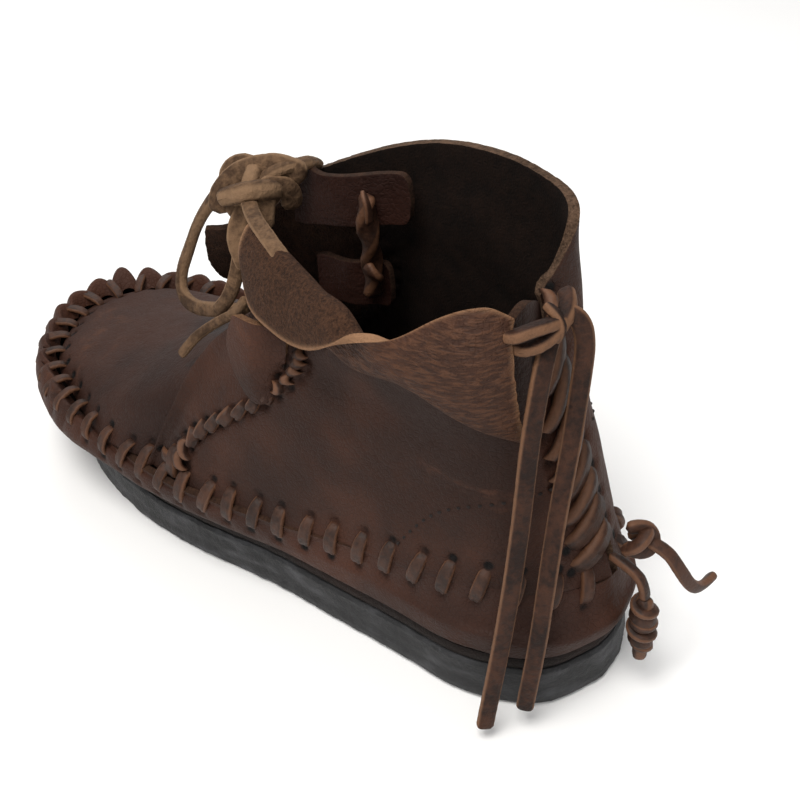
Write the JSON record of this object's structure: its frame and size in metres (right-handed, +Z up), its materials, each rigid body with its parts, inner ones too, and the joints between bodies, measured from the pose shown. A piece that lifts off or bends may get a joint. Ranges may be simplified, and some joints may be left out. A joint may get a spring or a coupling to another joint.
{
  "type": "moccasin boot",
  "caption": "Left hand-laced leather moccasin boot with a gathered toe, tied throat, slumped ankle cuff and a flat rubber sole.",
  "frame": {"origin": "on the floor, on the outsole's underside, on the foot's long centre line at mid-length of the outsole", "axes": "+Y towards the toe, +X towards the wearer's right (the inner side of this left shoe), +Z up"},
  "size_m": [0.112, 0.3146, 0.157],
  "materials": {
    "rubber": "matt black-grey crepe rubber, scuffed",
    "midsole_leather": "dark oiled veg-tan sole leather, burnished edge",
    "felt": "brown wool felt",
    "bottom_leather": "thick oiled bull hide, dark red-brown, worn satin",
    "upper_leather": "oiled bull hide, red-brown, worn satin",
    "cuff_leather": "same hide, rubbed lighter, flesh side showing at the front",
    "counter_leather": "dark suede side of split leather",
    "strap_leather": "smooth dark red-brown hide",
    "seam_lace": "narrow oiled leather lace, rounded edges",
    "tie_lace": "flat rough-out leather lace, pale rubbed edges",
    "thread": "dark waxed thread"
  },
  "bodies": {
    "shoe": {"outsole": "rubber", "midsole": "midsole_leather", "insole": "felt", "moccasin_bottom": "bottom_leather", "plug": "upper_leather", "left_quarter": "upper_leather", "right_quarter": "upper_leather", "left_wing": "upper_leather", "right_wing": "upper_leather", "heel_counter": "counter_leather", "toe_lacing": "seam_lace", "left_side_lacing": "seam_lace", "right_side_lacing": "seam_lace", "heel_seam_lacing": "seam_lace", "left_wing_lacing": "seam_lace", "right_wing_lacing": "seam_lace", "left_counter_stitching": "thread", "right_counter_stitching": "thread", "welt_stitching": "thread", "front_tie_knot": "tie_lace", "front_strap_strand": "tie_lace", "front_cuff_strand": "tie_lace", "front_loop": "tie_lace", "front_tail_low": "tie_lace", "front_tail_wing": "tie_lace", "rear_tie_knot": "tie_lace", "rear_tail_left": "tie_lace", "rear_tail_right": "tie_lace", "heel_overhand_knot": "seam_lace", "heel_tail": "seam_lace"},
    "cuff": {"left_cuff": "cuff_leather"},
    "throat_straps": {"throat_upper_strap": "strap_leather", "throat_lower_strap": "strap_leather", "throat_thong": "seam_lace"},
    "heel_barrel": {"heel_barrel_knot": "seam_lace", "heel_barrel_lace": "seam_lace"}
  },
  "joints": [
    {"name": "cuff_fold", "type": "hinge", "parent": "shoe", "child": "cuff", "pos_m": [-0.0385, -0.075, 0.118], "axis": [-0.06, -0.9964, 0.06], "range_deg": [0, 25]},
    {"name": "strap_swing", "type": "hinge", "parent": "shoe", "child": "throat_straps", "pos_m": [0.008, -0.007, 0.13], "axis": [0, 0, 1], "range_deg": [-25, 4]},
    {"name": "heel_knot_swing", "type": "hinge", "parent": "shoe", "child": "heel_barrel", "pos_m": [-0.001, -0.1387, 0.0528], "axis": [0, 1, 0], "range_deg": [-25, 25]}
  ]
}
